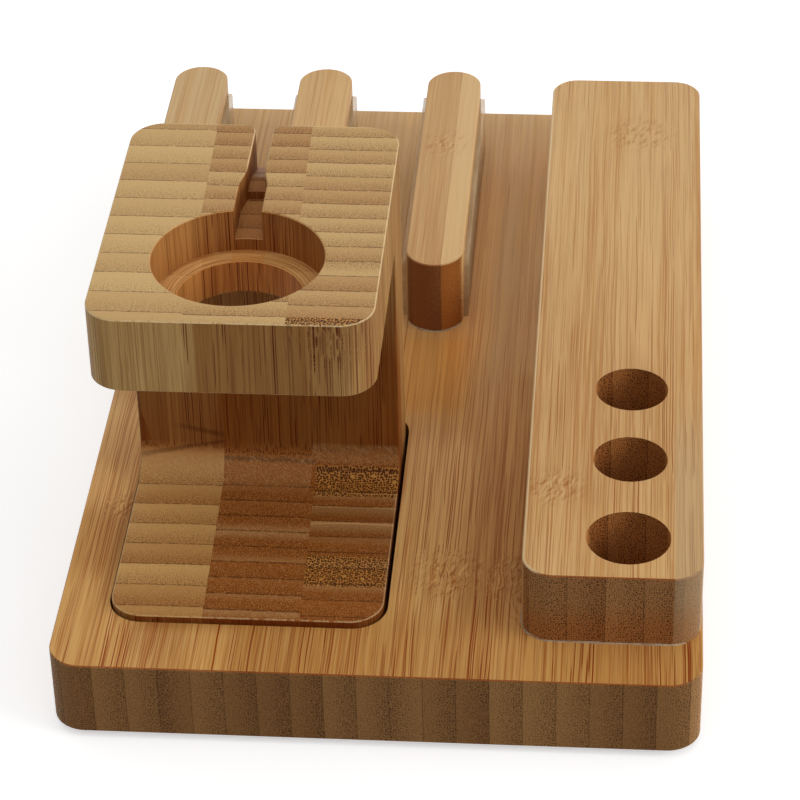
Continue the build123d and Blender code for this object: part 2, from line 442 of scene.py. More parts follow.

    # Eased edges get a painted glow, fainter on the sides that face left and right
    eased = s.mul(eased_edge(s, facing[2]), s.blend(0.25, 1.0, s.step(facing[0], 0.5, 0.2)))
    colour = s.lay(colour, look.edge, eased, look.edge_share)
    if marks:
        colour = marks(s, place, facing, colour)

    height = s.sub(s.mul(fibre, 0.6), s.mul(mark, 0.6))
    rough = s.add(s.blend(look.rough, look.rough + 0.1, end), s.mul(s.sub(speck, 0.5), 0.15))
    return s.finish({"Base Color": colour, "Roughness": rough, "Specular IOR Level": GLOSS}, height, BUMP)


# Looks of the bamboo: tones of its sides, which get calmer and turn to the far tone along the fibres,
# a painted sheen; tones and dots of its ends; what a column's tint does to them and where it changes,
# which on the stand paints shade under the plate; and the painted glow of eased edges
BASE_LOOKS = dict(
    pale=rgb(206, 152, 82), deep=rgb(172, 108, 44), fibre=rgb(218, 170, 104),
    fibre_deep=rgb(206, 152, 82), soft=rgb(160, 100, 48), strand=0.5,
    cloud=rgb(150, 98, 48), warm=rgb(178, 122, 64), warm_share=0.3,
    streak=rgb(140, 58, 4), streak_share=1.0, widen=1.35, knot_hidden=0.5,
    stroke=0.62, thread=rgb(160, 80, 20), thread_share=0.6,
    far=rgb(226, 191, 142), far_share=0.6, calm=0.18, calm_from=-76.0, calm_to=42.0,
    end_pale=rgb(179, 132, 80), end_deep=rgb(120, 77, 39), slope=0.18, grain=0.3,
    dot=rgb(50, 24, 8), dot_share=0.85, dot_pale=1.0, sparse=0.75,
    cell=0.44, small=0.23, large=0.3, net=rgb(190, 130, 50), net_dot=rgb(74, 40, 16),
    strip_share=0.6, flip_above=0.93, dense_low=False, seam_share=0.5, seam_wide=0.0,
    tint_varied=0.0, tint_dotted=0.0, tint_slope=0.0, tint_long=1.0,
    tint_from=0.0, tint_to=1.0, tint_back=1000.0,
    edge=rgb(158, 80, 28), edge_share=0.7, rough=0.45)
BLOCK_LOOKS = dict(
    BASE_LOOKS, pale=rgb(220, 174, 112), deep=rgb(192, 138, 78), fibre=rgb(234, 198, 142),
    soft=rgb(182, 118, 58), cloud=rgb(182, 130, 76), warm=rgb(196, 138, 74), warm_share=0.6,
    streak=rgb(162, 90, 32), streak_share=0.85, widen=1.1, thread=rgb(176, 106, 44),
    far=rgb(224, 188, 136), far_share=0.5, calm=0.45, calm_from=-66.0, calm_to=60.0,
    end_pale=rgb(182, 134, 84), end_deep=rgb(132, 80, 40), slope=0.25, grain=0.15,
    dot=rgb(38, 13, 3), dot_share=0.95, sparse=0.9, small=0.27, large=0.31, strip_share=0.4)
PEG_LOOKS = dict(
    BLOCK_LOOKS, deep=rgb(180, 132, 80), warm_share=0.35, streak_share=0.5, stroke=1.0,
    calm_from=-10.0, calm_to=50.0, end_pale=rgb(172, 108, 50), end_deep=rgb(122, 66, 28),
    grain=0.2, sparse=0.3, small=0.2, large=0.3, strip_share=1.0)
PALE_PEG_LOOKS = dict(
    PEG_LOOKS, pale=rgb(214, 180, 130), deep=rgb(196, 154, 102), fibre=rgb(222, 190, 142),
    far=rgb(216, 184, 134))
STAND_LOOKS = dict(
    BASE_LOOKS, pale=rgb(198, 158, 98), deep=rgb(134, 74, 26), fibre=rgb(210, 170, 106),
    fibre_deep=rgb(152, 96, 44), soft=rgb(116, 62, 22), strand=0.4, cloud=rgb(146, 98, 48),
    warm=rgb(134, 80, 34), warm_share=0.12, streak=rgb(96, 38, 8), widen=1.15,
    knot_hidden=0.3, stroke=0.0, thread=rgb(96, 46, 14), thread_share=0.3, far_share=0.0, calm=1.0,
    end_pale=rgb(220, 183, 124), end_deep=rgb(156, 88, 30), slope=0.08, grain=0.12,
    dot=rgb(74, 34, 10), dot_share=0.75, dot_pale=0.46, sparse=0.0, net=rgb(200, 136, 64),
    net_dot=rgb(62, 32, 10), strip_share=0.3, dense_low=True, seam_share=0.75, seam_wide=0.22,
    tint_varied=0.35, tint_dotted=0.6, tint_slope=0.5, tint_long=2.0, tint_from=66.0, tint_to=24.0,
    tint_back=-30.0, edge_share=0.0)

# What marks multiply the colour below them by
PALER = (1.42, 1.6, 1.9, 1.0)
WARMER = (1.45, 1.25, 1.0, 1.0)
REDDER = (1.0, 0.84, 0.58, 1.0)
BORED = (1.05, 0.84, 0.64, 1.0)
PALER_AND_LIT = (1.12, 1.15, 1.2, 1.0)
LIT = (1.42, 1.38, 1.28, 1.0)


def window(s, value, low, high, soft):
    """1 between low and high, falling to 0 over soft on either side."""
    return s.mul(s.step(value, low - soft, low), s.step(value, high + soft, high))


def patch(s, x, y, left, right, fade_x, near, far, fade_y):
    """1 in a rectangle, falling to 0 round it."""
    return s.mul(window(s, x, left, right, fade_x), window(s, y, near, far, fade_y))


def outline_depth(s, x, y, low, high, radius):
    """How far a point lies inside a rounded rectangle, in millimetres."""
    reach = []
    for value, near, far in ((x, low[0], high[0]), (y, low[1], high[1])):
        half = (far - near) / 2
        reach.append(s.sub(s.math("ABSOLUTE", s.sub(value, near + half)), half - radius))
    corner = s.vector(s.math("MAXIMUM", reach[0], 0.0), s.math("MAXIMUM", reach[1], 0.0))
    outside = s.node("VectorMath", {0: corner}, operation="LENGTH").outputs["Value"]
    inside = s.math("MINIMUM", s.math("MAXIMUM", *reach), 0.0)
    return s.sub(radius, s.add(outside, inside))


# Patches of the base's top: left, right, fade, near, far, fade, and the pale ones' share. The pale ones
# are partly paler strips and partly painted light where the stand and the block shade the top
BASE_PALE_AND_LIT = ((2, 11.5, 6, -74, -34, 12, 0.75), (-60, -44, 4, -99, -76, 10, 0.5),
             (-44, -27, 4, -99, -88, 4, 0.5), (-60, -50, 2, -46, -22, 10, 0.7),
             (22.5, 26, 1.5, -2, 99, 6, 0.35), (-60, 60, 2, 78, 99, 12, 0.2))
BASE_WARM = (8, 13, 4, 12, 52, 30)
BASE_REDDER = (-2, 9, 6, -14, 4, 10)

# The joint beside the pen block's foot: its middle, its reach across and along, and its rings
JOINT_PLACE = (26.5, -71.0)
JOINT_REACH = (5.0, 13.0)
JOINT_RINGS = 5.0


def base_marks(s, place, _facing, colour):
    """Paler patches, partly painted light where the stand and the block shade the top, a warmer and a redder
    patch, and a joint's figure near the block's foot.
    """
    x, y, z = place
    deck = s.step(z, DECK - 0.5, DECK - 0.2)
    pale = 0.0
    for *box, share in BASE_PALE_AND_LIT:
        pale = s.math("MAXIMUM", pale, s.mul(patch(s, x, y, *box), share))
    colour = s.tint(colour, PALER, pale, deck)
    warm = s.mul(patch(s, x, y, *BASE_WARM), deck)
    colour = s.tint(colour, WARMER, warm, 0.5)
    colour = s.tint(colour, REDDER, patch(s, x, y, *BASE_REDDER), deck)

    # Lines that bow out round the joint
    across, along = (s.math("DIVIDE", s.sub(value, middle), half)
                     for value, middle, half in zip((x, y), JOINT_PLACE, JOINT_REACH))
    reach = s.math("SQRT", s.add(s.mul(across, across), s.mul(along, along)))
    wave = s.noise(s.mul(x, 0.5), s.mul(y, 0.25), 0.0)
    ring = s.math("FRACT", s.mul(s.add(reach, s.mul(wave, 0.5)), JOINT_RINGS))
    ring = s.math("ABSOLUTE", s.sub(ring, 0.5))
    near = s.mul(s.step(reach, 1.15, 0.7), deck)
    colour = s.lay(colour, rgb(132, 98, 60), near, 0.1)
    colour = s.lay(colour, rgb(196, 154, 100), near, s.step(ring, 0.3, 0.45), 0.3)
    return s.lay(colour, rgb(92, 54, 24), near, s.step(ring, 0.16, 0.04), 0.3)


def block_marks(s, place, facing, colour):
    """A painted highlight along the left edge, a painted sheen on the front right strip, painted bounce
    light that makes the foot of the front redder, and holes that are browner inside."""
    x, y, z = place
    up = facing[2]
    low, high = millimetres("pen_block")
    depth = outline_depth(s, x, y, low, high, BLOCK_ROUND)
    # A painted highlight: a pale line along the top's left edge
    left = s.mul(s.step(depth, 0.55, 0.25), s.step(up, 0.3, 0.5))
    left = s.mul(left, s.step(x, low.x + 4.0, low.x + 1.5))
    colour = s.lay(colour, rgb(238, 212, 164), left, 0.75)
    # A painted sheen: the front right strip is paler and greyer
    front_right_sheen = s.mul(s.step(x, high.x - 5.2, high.x - 4.8), window(s, y, low.y - 1.0, low.y + 26.0, 40.0))
    colour = s.lay(colour, rgb(196, 172, 134), front_right_sheen, 0.4)
    # Painted bounce light from the base: the front end is redder near its foot
    foot = s.step(s.sub(z, s.mul(x, 0.06)), low.z + 7.5, low.z + 0.5)
    foot = s.mul(foot, s.step(up, 0.5, 0.2), s.step(y, low.y + 6.0, low.y + 1.0))
    colour = s.tint(colour, rgb(250, 210, 170), foot, 0.5)
    inside = 0.0
    for centre, radius in bores("pen_hole"):
        close = s.math("LESS_THAN", s.away((x, y, 0.0), centre), radius + 0.15)
        inside = s.math("MAXIMUM", inside, close)
    inside = s.mul(inside, s.step(up, 0.6, 0.4))
    return s.tint(colour, BORED, inside)


def peg_marks(s, place, facing, colour):
    """The right peg's two strips: a dark plain one and a pale dotted one."""
    seam = millimetres("peg_right")[0].x + 7.2
    right = s.step(place[0], seam, seam + 0.1)
    top = s.step(facing[2], 0.4, 0.7)
    colour = s.lay(colour, rgb(228, 190, 136), right, top, 0.6)
    return s.lay(colour, rgb(196, 150, 100), s.sub(1.0, right), s.blend(0.15, 0.35, top))


# The stand's columns meet at two leaning lines. At the plate's front the first lies further right
COLUMN_LEAN = -0.025
COLUMN_EDGES = (-33.3, -15.9)
FRONT_EDGE = (-31.4, -31.2)
# Their tints at the foot hold painted shade under the plate
STAND_COLUMNS = (Column(2.4, 5.97, 0.05, 0.33), Column(0.8, 4.58, 0.25, 0.95, COLUMN_EDGES[0], COLUMN_LEAN),
                 Column(0.0, 4.59, 0.22, 0.74, COLUMN_EDGES[1], COLUMN_LEAN))

# Heights between which the toe's marks fade out
TOE_FADE = (24.0, 20.0)

# Nets of dark vessels in the toe and at the plate's front: near, far and fade, and the yellow spots
TOE_NETS = ((-47.4, -41.0, 0.3), (-74.0, -65.6, 0.5))
PLATE_NET = (-90.0, -81.8, 0.3)
SPOTS = ((-11.0, -72.2), (-6.9, -71.1), (-3.6, -71.8), (-7.8, -42.4), (-12.1, -44.7), (-3.9, -42.2),
         (0.0, -43.2))

# The cable way: left, right, fade, near, far, fade
CABLE_WAY = (-26.9, -21.2, 0.1, -56.0, -18.0, 0.1)

# Across the toe's right: darker bands (near, far, fade and share), and a bowed line of glue
TOE_BANDS = ((-55.2, -51.1, 0.1, 0.75), (-61.1, -55.9, 0.1, 0.4))
TOE_RIGHT = (-14.4, 2.0, 0.2)
GLUE_Y = -55.7
GLUE_MIDDLE = -6.5
GLUE_BOW = 0.45
GLUE_HALF = 8.0


def over_columns(s, x, y):
    """Where a point lies across the stand's columns, along y = 0."""
    return s.sub(x, s.mul(y, COLUMN_LEAN))


def stand_net(s, place):
    """Where a joint of the cane shows as a dark net in the stand's end grain."""
    x, y, z = place
    right = s.math("GREATER_THAN", over_columns(s, x, y), COLUMN_EDGES[1])
    low = s.step(z, *TOE_FADE)
    first, second = (window(s, y, *net) for net in TOE_NETS)
    front = s.mul(window(s, y, *PLATE_NET), s.step(z, 70.0, 76.0))
    return s.mul(right, s.add(s.mul(low, s.add(first, second)), front))


def stand_marks(s, place, facing, colour):
    """Painted highlights on the eased edges, painted light at the plate's right front corner and in the push
    hole, painted shade below the plate and in the seat's corner, a painted sheen on the hollow, and the
    marks that this piece of bamboo happens to have.
    """
    x, y, z = place
    side, up = facing[0], facing[2]
    top, front, back = STAND_HIGH.z, STAND_LOW.y, STAND_HIGH.y
    seat_place, seat_reach = bores("puck_seat")[0]
    push_reach = bores("push_hole")[0][1]
    seat = s.away((x, y, 0.0), seat_place)
    way = patch(s, x, y, *CABLE_WAY)
    plate = s.step(z, PLATE_FOOT - 6.6, PLATE_FOOT - 0.6)

    # Painted highlights on the eased edges, ragged along the front
    ragged = s.step(s.pattern(place, (1.1, 1.1, 1.1)), 0.36, 0.5)
    ragged = s.blend(1.0, ragged, s.step(y, front + 2.0, front + 0.2))
    rims = s.add(window(s, z, PLATE_FOOT - 0.6, PLATE_FOOT + 0.6, 0.2),
                 window(s, z, TOE_TOP - 0.9, TOE_TOP + 0.2, 0.2))
    rims = s.add(s.step(z, top - 0.3, top - 0.2), rims)
    rims = s.mul(rims, s.math("LESS_THAN", y, s.blend(POST_FRONT - 6.6, 0.0, plate)))
    rims = s.mul(eased_edge(s, up), rims)
    behind = s.mul(s.step(y, back - 0.45, back - 0.3), s.step(z, top - 0.1, top - 0.05))
    rims = s.mul(s.math("MAXIMUM", rims, behind), s.step(seat, seat_reach + 0.3, seat_reach + 0.6))
    rims = s.mul(rims, s.sub(1.0, s.mul(way, s.step(y, -31.0, -37.0))))
    rims = s.mul(rims, ragged, s.blend(0.32, 0.55, plate))
    colour = s.lay(colour, rgb(240, 212, 162), rims)

    # The plate's front is warmer right of the first column, less so towards the right corner, where that is
    # painted light from the right
    columns = over_columns(s, x, y)
    warm = s.mul(s.step(columns, *FRONT_EDGE), s.blend(0.35, 1.0, s.step(x, -3.0, -12.0)))
    ahead = s.mul(plate, s.step(up, 0.5, 0.3), s.step(y, front + 4.0, front + 2.0))
    colour = s.tint(colour, rgb(240, 226, 214), warm, ahead)
    # The first column's front is paler, and the right corner brighter, which is painted light from the right
    sides = s.add(s.step(columns, *FRONT_EDGE[::-1]), s.step(x, -12.0, -4.0))
    colour = s.tint(colour, PALER_AND_LIT, sides, ahead)

    # The bored seat and the sawn cable way are more orange
    bored = s.step(seat, seat_reach + 0.4, seat_reach + 0.1)
    bored = s.mul(bored, window(s, z, PLATE_FOOT + 0.2, top - 0.1, 0.1))
    sawn = s.mul(way, plate, s.step(z, top - 0.2, top - 0.4))
    fresh = s.math("MAXIMUM", s.mul(bored, s.step(up, 0.6, 0.4)), sawn)
    colour = s.tint(colour, rgb(244, 192, 140), fresh, 0.6)

    # Turned rings on the seat's floor, with painted shade in its corner, darker round the hole, and painted
    # light inside the hole
    floor = s.mul(bored, up)
    colour = s.lay(colour, rgb(228, 160, 86), floor, 0.5)
    rings = s.pattern((seat, x, y), (2.6, 0.08, 0.08))
    colour = s.lay(colour, rgb(184, 116, 56), floor, s.step(rings, 0.52, 0.66), 0.8)
    colour = s.lay(colour, rgb(246, 194, 126), floor, s.step(rings, 0.44, 0.32), 0.8)
    corner = s.math("MAXIMUM", s.step(seat, seat_reach - 1.0, seat_reach - 0.1),
                    s.step(seat, push_reach + 0.8, push_reach + 0.1))
    colour = s.lay(colour, rgb(150, 84, 34), floor, corner, 0.3)
    lit_hole = s.mul(bored, s.step(seat, push_reach + 0.3, push_reach + 0.1))
    colour = s.tint(colour, LIT, lit_hole)

    # Below the plate, the first column's front is warmer, most of all on the post, which is painted shade:
    # the redder light bounced under the plate
    low = s.mul(s.step(z, PLATE_FOOT - 0.2, PLATE_FOOT - 1.0),
                s.step(columns, COLUMN_EDGES[0] + 0.1, COLUMN_EDGES[0] - 0.1))
    low = s.mul(low, s.step(side, 0.6, 0.3), s.step(y, POST_FRONT + 2.9, POST_FRONT + 0.9))
    post = s.mul(low, s.step(z, DECK + 1.5, DECK + 5.5))
    colour = s.tint(colour, rgb(240, 214, 190), post, 0.9)
    colour = s.tint(colour, rgb(255, 244, 216), s.sub(low, post), 0.8)

    # A flaw of two slanted lines that cross the foot of the post
    foot = s.mul(window(s, y, -42.0, -38.0, 4.0), s.step(x, -31.0, -33.5))
    under = s.math("ABSOLUTE", s.sub(z, s.add(29.85, s.mul(x, 0.19))))
    over = s.math("ABSOLUTE", s.sub(z, s.sub(17.85, s.mul(x, 0.23))))
    over = s.mul(s.step(over, 0.9, 0.1), s.step(x, -43.0, -38.0))
    flaw = s.mul(s.math("MAXIMUM", s.step(under, 0.7, 0.1), over), foot, s.step(side, 0.6, 0.3))
    colour = s.lay(colour, rgb(74, 30, 10), flaw, 0.45)

    # The hollow between toe and post gets a painted sheen: paler, with short slanted streaks
    rise = s.mul(s.step(x, COLUMN_EDGES[1] + 0.1, COLUMN_EDGES[1] + 0.3), 2.6)
    hollow = window(s, s.sub(z, rise), TOE_TOP + 0.4, TOE_TOP + 2.9, 1.0)
    hollow = s.mul(hollow, window(s, y, POST_FRONT - 6.1, POST_FRONT - 0.2, 2.0))
    hollow = s.mul(hollow, s.step(side, 0.5, 0.2))
    scratch = s.pattern((s.add(x, s.mul(z, 1.2)), y, z), (3.2, 1.2, 1.2))
    colour = s.lay(colour, rgb(206, 162, 106), hollow, 0.15)
    colour = s.lay(colour, rgb(226, 190, 142), hollow, s.step(scratch, 0.52, 0.66), 0.2)

    # The toe's front edge is redder
    toe_edge_tint = s.mul(window(s, z, TOE_TOP - 1.3, TOE_TOP - 0.3, 0.1), s.step(y, front + 0.3, front + 0.1))
    colour = s.tint(colour, rgb(214, 140, 84), toe_edge_tint, 0.6)

    # Darker bands and a bowed line of glue across the toe's right
    toe = s.mul(s.step(z, TOE_TOP + 0.8, TOE_TOP + 0.2), window(s, x, *TOE_RIGHT))
    first, second = (s.mul(window(s, y, *band), share) for *band, share in TOE_BANDS)
    colour = s.lay(colour, rgb(118, 66, 24), s.add(first, second), toe, 0.6)
    bow = s.math("POWER", s.mul(s.sub(x, GLUE_MIDDLE), 1 / GLUE_HALF), 2.0)
    line = s.math("ABSOLUTE", s.sub(s.add(y, s.mul(bow, GLUE_BOW)), GLUE_Y))
    line = s.mul(s.step(line, 0.22, 0.08), toe)
    colour = s.lay(colour, rgb(212, 160, 98), line, 0.65)

    # Yellow spots in the nets
    nearest = 9.0
    for spot in SPOTS:
        nearest = s.math("MINIMUM", nearest, s.away((x, y, 0.0), (*spot, 0.0)))
    spots = s.mul(s.step(nearest, 0.5, 0.2), s.step(z, *TOE_FADE))
    return s.lay(colour, rgb(216, 156, 72), spots, 0.7)


def steel():
    """Zinc plated steel, turned on a lathe."""
    s = Shader(bpy.data.materials.new("screw_steel"))
    scratch = s.pattern(s.place(), (1.2, 1.2, 6.0), 3.0)
    rough = s.blend(0.42, 0.6, scratch)
    return s.finish({"Base Color": rgb(190, 188, 180), "Roughness": rough, "Metallic": 1.0}, scratch, 0.002)


def rubber():
    """Black rubber with a little dust."""
    s = Shader(bpy.data.materials.new("foot_rubber"))
    dust = s.pattern(s.place(), (2.0, 2.0, 2.0), 4.0)
    colour = s.colour(s.step(dust, 0.45, 0.8), rgb(38, 37, 36), rgb(64, 62, 60))
    return s.finish({"Base Color": colour, "Roughness": 0.75}, dust, 0.05)


def silicone():
    """Milky silicone that lets the wood behind it show."""
    s = Shader(bpy.data.materials.new("silicone"))
    place = s.place()
    haze = s.pattern(place, (0.6, 0.1, 0.4), 3.0)
    dust = s.pattern(place, (3.0, 3.0, 3.0), 3.0)
    colour = s.colour(haze, rgb(226, 186, 132), rgb(240, 214, 172))
    surface = {"Base Color": colour, "Roughness": s.blend(0.35, 0.55, dust),
               "Alpha": s.blend(0.35, 0.55, haze), "Specular IOR Level": 0.2}
    return s.finish(surface, dust, 0.02)


def glue():
    """Clear glue, hazy in places."""
    s = Shader(bpy.data.materials.new("glue"))
    haze = s.pattern(s.place(), (0.5, 0.5, 0.5), 3.0)
    colour = s.colour(haze, rgb(204, 168, 122), rgb(240, 224, 196))
    return s.finish({"Base Color": colour, "Roughness": 0.35, "Alpha": s.blend(0.2, 0.65, haze)})


def paint(node, material):
    for slot in nodes[node].material_slots:
        slot.material = material


# Joints of the cane in each piece, and how its strips are stacked
BASE_KNOTS = ((12.0, -68.0, DECK, 9.0), (24.0, -68.0, DECK, 8.0), (-49.5, -51.0, DECK, 5.0))
BLOCK_TOP = millimetres("pen_block")[1].z
BLOCK_KNOTS = ((30.5, -60.5, BLOCK_TOP, 7.0), (44.5, 64.0, BLOCK_TOP, 9.0))
STAND_KNOTS = ((-7.0, STAND_LOW.y, STAND_HIGH.z - 1.0, 9.0),)
RIGHT_PEG_KNOTS = ((4.0, 56.5, millimetres("peg_right")[1].z, 7.0),)
BASE_COLUMNS = (Column(-49.3, 5.82),)
BLOCK_COLUMNS = (Column(33.5, 6.75),)
PEG_COLUMNS = (Column(5.5, 6.0),)

paint("base_board", bamboo("base_bamboo", FLAT, BASE_LOOKS, BASE_COLUMNS, BASE_KNOTS, 3.0, marks=base_marks))
paint("pen_block", bamboo("block_bamboo", FLAT, BLOCK_LOOKS, BLOCK_COLUMNS, BLOCK_KNOTS, 7.0,
                          marks=block_marks))
paint("watch_stand", bamboo("stand_bamboo", UPRIGHT, STAND_LOOKS, STAND_COLUMNS, STAND_KNOTS, 11.0,
                            net=stand_net, marks=stand_marks))
for side, looks, knots, seed, marks in (("left", PALE_PEG_LOOKS, (), 19.0, None),
                                        ("middle", PEG_LOOKS, (), 20.0, None),
                                        ("right", PEG_LOOKS, RIGHT_PEG_KNOTS, 21.0, peg_marks)):
    paint("peg_" + side, bamboo("peg_bamboo_" + side, FLAT, looks, PEG_COLUMNS, knots, seed, marks=marks))


def add_mesh(name, points, faces, material, material_slot, body, *replaced):
    """A piece of its own from points in millimetres, which rides on a body."""
    mesh = bpy.data.meshes.new(name)
    mesh.from_pydata([Vector(point) * MM for point in points], [], faces)
    mesh.materials.append(material)
    made = bpy.data.objects.new(name, mesh)
    scene.collection.objects.link(made)
    for polygon in mesh.polygons:
        polygon.use_smooth = True
    mesh.set_sharp_from_angle(angle=radians(40))
    mesh.validate()
    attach(made, body)
    if replaced:
        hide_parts(*replaced)
    return made


def turned(rings, centre, count, points, faces):
    """Adds a round solid to points and faces. Each ring is (radius, height), from the top down, where
    a radius is a number or a function of the angle, and the first and last are single points."""
    first = len(points)
    x, y = centre
    for radius, height in rings:
        if radius == 0:
            points.append((x, y, height))
            continue
        for step in range(count):
            angle = 2 * pi * step / count
            reach = radius(angle) if callable(radius) else radius
            points.append((x + reach * cos(angle), y + reach * sin(angle), height))
    last = len(points) - 1
    for step in range(count):
        after = (step + 1) % count
        faces.append((first, first + 1 + step, first + 1 + after))
        faces.append((last, last - count + after, last - count + step))
        for ring in range(len(rings) - 3):
            start = first + 1 + ring * count
            faces.append((start + step, start + count + step, start + count + after, start + after))


# A foot's eased top, the profiles of its edge and of a groove, inwards and up, how far in from its
# rim the grooves start, and its dimple
FOOT_SIDES = 64
FOOT_EASE = 0.1
FOOT_EDGE = ((0, 0.5), (0.05, 0.25), (0.2, 0.08), (0.45, 0))
GROOVE = ((0, 0), (0.12, 0.22), (0.4, 0.3), (0.68, 0.22), (0.8, 0))
GROOVE_STARTS = (1.1, 2.9)
DIMPLE = ((0.7, 0), (0.45, 0.16), (0, 0.2))


def add_feet(material):
    """Moulded rubber feet, each with two grooves and a dimple in the face it stands on."""
    for node in nodes:
        if not node.startswith("rubber_foot"):
            continue
        low, high = millimetres(node)
        centre, reach, top = ((low.x + high.x) / 2, (low.y + high.y) / 2), (high.x - low.x) / 2, high.z
        rings = [(0, top), (reach - FOOT_EASE, top), (reach, top - FOOT_EASE)]
        rings += [(reach - inwards, height) for inwards, height in FOOT_EDGE]
        for start in GROOVE_STARTS:
            rings += [(reach - start - inwards, height) for inwards, height in GROOVE]
        rings += DIMPLE
        points, faces = [], []
        turned(rings, centre, FOOT_SIDES, points, faces)
        add_mesh(node.replace("rubber", "moulded"), points, faces, material, "foot_rubber", "base", node)


# A screw's head and its eased edge. Its cross recess, half as long and as wide, tapers in steps of
# (size, grown by, depth)
SCREW_SIDES = 96
HEAD_REACH = 3.48
HEAD_EDGE = ((3.4, 0.28), (HEAD_REACH, 0.14), (3.4, 0))
CROSS_HALF = (2.1, 0.45)
CROSS_STEPS = ((1.0, 0.1, 0), (1.0, 0.0, 0.12), (0.8, 0.0, 0.8), (0.55, 0.0, 1.1))
CROSS_DEEP = 1.2

# Its shank: levels count down from the tip, or up from the head for where the thread stops, the
# bare part's foot and the head's cone. Shares are of its half width
TIP_REACH = 0.25
TIP_BLUNT = 0.1
TIP_LONG = 2.6
TIP_SHARE = 0.8
THREAD_START = 3.0
THREAD_STOP = 9.0
THREAD_PITCH = 1.5
THREAD_HALF = 0.55
CORE_SHARE = 0.76
SHANK_SHARE = 0.86
SHANK_FOOT = 2.6
CONE_TOP = 2.1


def cross(size, grow):
    """The reach of a cross at an angle, with its arms scaled by size and then grown."""
    def radius(angle):
        turn = abs((angle + pi / 4) % (pi / 2) - pi / 4)
        along = (CROSS_HALF[0] * size + grow) / cos(turn)
        across = (CROSS_HALF[1] * size + grow) / max(sin(turn), 0.001)
        return min(along, across)
    return radius


def add_screws(material):
    """Countersunk screws with a tapered cross recess and a pointed, threaded shank."""
    for node in ("peg_screws", "block_screws"):
        low, high = millimetres(node)
        head, tip = low.z, high.z
        tips = []
        for vertex in nodes[node].data.vertices:
            spot = vertex.co / MM
            if spot.z > tip - 0.01:
                for spots in tips:
                    if (spots[0] - spot).length < 2 * HEAD_REACH:
                        spots.append(spot)
                        break
                else:
                    tips.append([spot])
        points, faces = [], []
        for spots in tips:
            left, right = min(spot.x for spot in spots), max(spot.x for spot in spots)
            near, far = min(spot.y for spot in spots), max(spot.y for spot in spots)
            centre, wide = ((left + right) / 2, (near + far) / 2), (right - left) / 2
            rings = [(0, tip), (TIP_REACH, tip - TIP_BLUNT), (wide * TIP_SHARE, tip - TIP_LONG)]
            height = tip - THREAD_START
            while height > head + THREAD_STOP:
                rings += [(wide * CORE_SHARE, height), (wide, height - THREAD_HALF),
                          (wide * CORE_SHARE, height - 2 * THREAD_HALF)]
                height -= THREAD_PITCH
            rings += [(wide * SHANK_SHARE, height), (wide * SHANK_SHARE, head + SHANK_FOOT),
                      (wide, head + CONE_TOP)]
            rings += [(reach, head + up) for reach, up in HEAD_EDGE]
            rings += [(cross(size, grow), head + deep) for size, grow, deep in CROSS_STEPS]
            rings.append((0, head + CROSS_DEEP))
            turned(rings, centre, SCREW_SIDES, points, faces)
        add_mesh(node.replace("screws", "wood_screws"), points, faces, material, "screw_steel", "base", node)


# A silicone strip: its corners, how many steps it has along and round them, how uneven its top edge
# is and how fast that changes, and its soft rim, back from the face and inwards
STRIP_ROUND = 1.2
STRIP_STEPS = 70
CORNER_STEPS = 8
STRIP_UNEVEN = 0.1
STRIP_RATE = 0.35
STRIP_RIM = ((0.3, 0.0), (0.13, 0.04), (0.04, 0.13), (0, 0.3))


def add_strips(material):
    """Silicone strips with soft rims, whose top edge was cut by hand."""
    for node in nodes:
        if not node.startswith("strip"):
            continue
        low, high = millimetres(node)
        side = 1 if node.endswith("right") else -1
        foot, face = (low.x, high.x) if side == 1 else (high.x, low.x)

        def outline(inset):
            path = []
            for step in range(STRIP_STEPS + 1):
                y = low.y + inset + (high.y - low.y - 2 * inset) * step / STRIP_STEPS
                path.append((y, low.z + inset / 2))
            for centre_y, start in ((high.y - STRIP_ROUND, 0), (low.y + STRIP_ROUND, 90)):
                for step in range(CORNER_STEPS + 1):
                    angle = radians(start + step * 90 / CORNER_STEPS)
                    reach = STRIP_ROUND - inset
                    path.append((centre_y + reach * cos(angle), high.z - STRIP_ROUND + reach * sin(angle)))
                if start == 0:
                    for step in range(1, STRIP_STEPS):
                        y = high.y - STRIP_ROUND
                        y -= (high.y - low.y - 2 * STRIP_ROUND) * step / STRIP_STEPS
                        wave = noise.noise(Vector((y * STRIP_RATE, foot, 0.0))) * STRIP_UNEVEN
                        path.append((y, high.z - inset - abs(wave)))
            return path

        rows = [(foot, 0.0)] + [(face - side * backwards, inset) for backwards, inset in STRIP_RIM]
        points, faces = [], []
        for x, inset in rows:
            points += [(x, y, z) for y, z in outline(inset)]
        count = len(points) // len(rows)
        for row in range(len(rows) - 1):
            for step in range(count):
                after = (step + 1) % count
                faces.append((row * count + step, row * count + after, (row + 1) * count + after,
                              (row + 1) * count + step)[::side])
        faces.append(tuple(range(count))[::-side])
        faces.append(tuple(range(len(points) - count, len(points)))[::side])
        add_mesh(node.replace("strip", "pad"), points, faces, material, "silicone", "base", node)


# A bead of glue: its width and height, how much they vary and how fast, where the noise for that is
# cut, and its section as shares of them
BEAD_WIDE, BEAD_TALL, BEAD_VARIES = 0.24, 0.22, 0.2
WIDE_RATE, TALL_RATE = 0.45, 0.3
WIDE_CUT, TALL_CUT = 3.0, 9.0
BEAD_SECTION = ((0, 0), (1, 0), (0.5, 0.35), (0.2, 0.7), (0, 1))


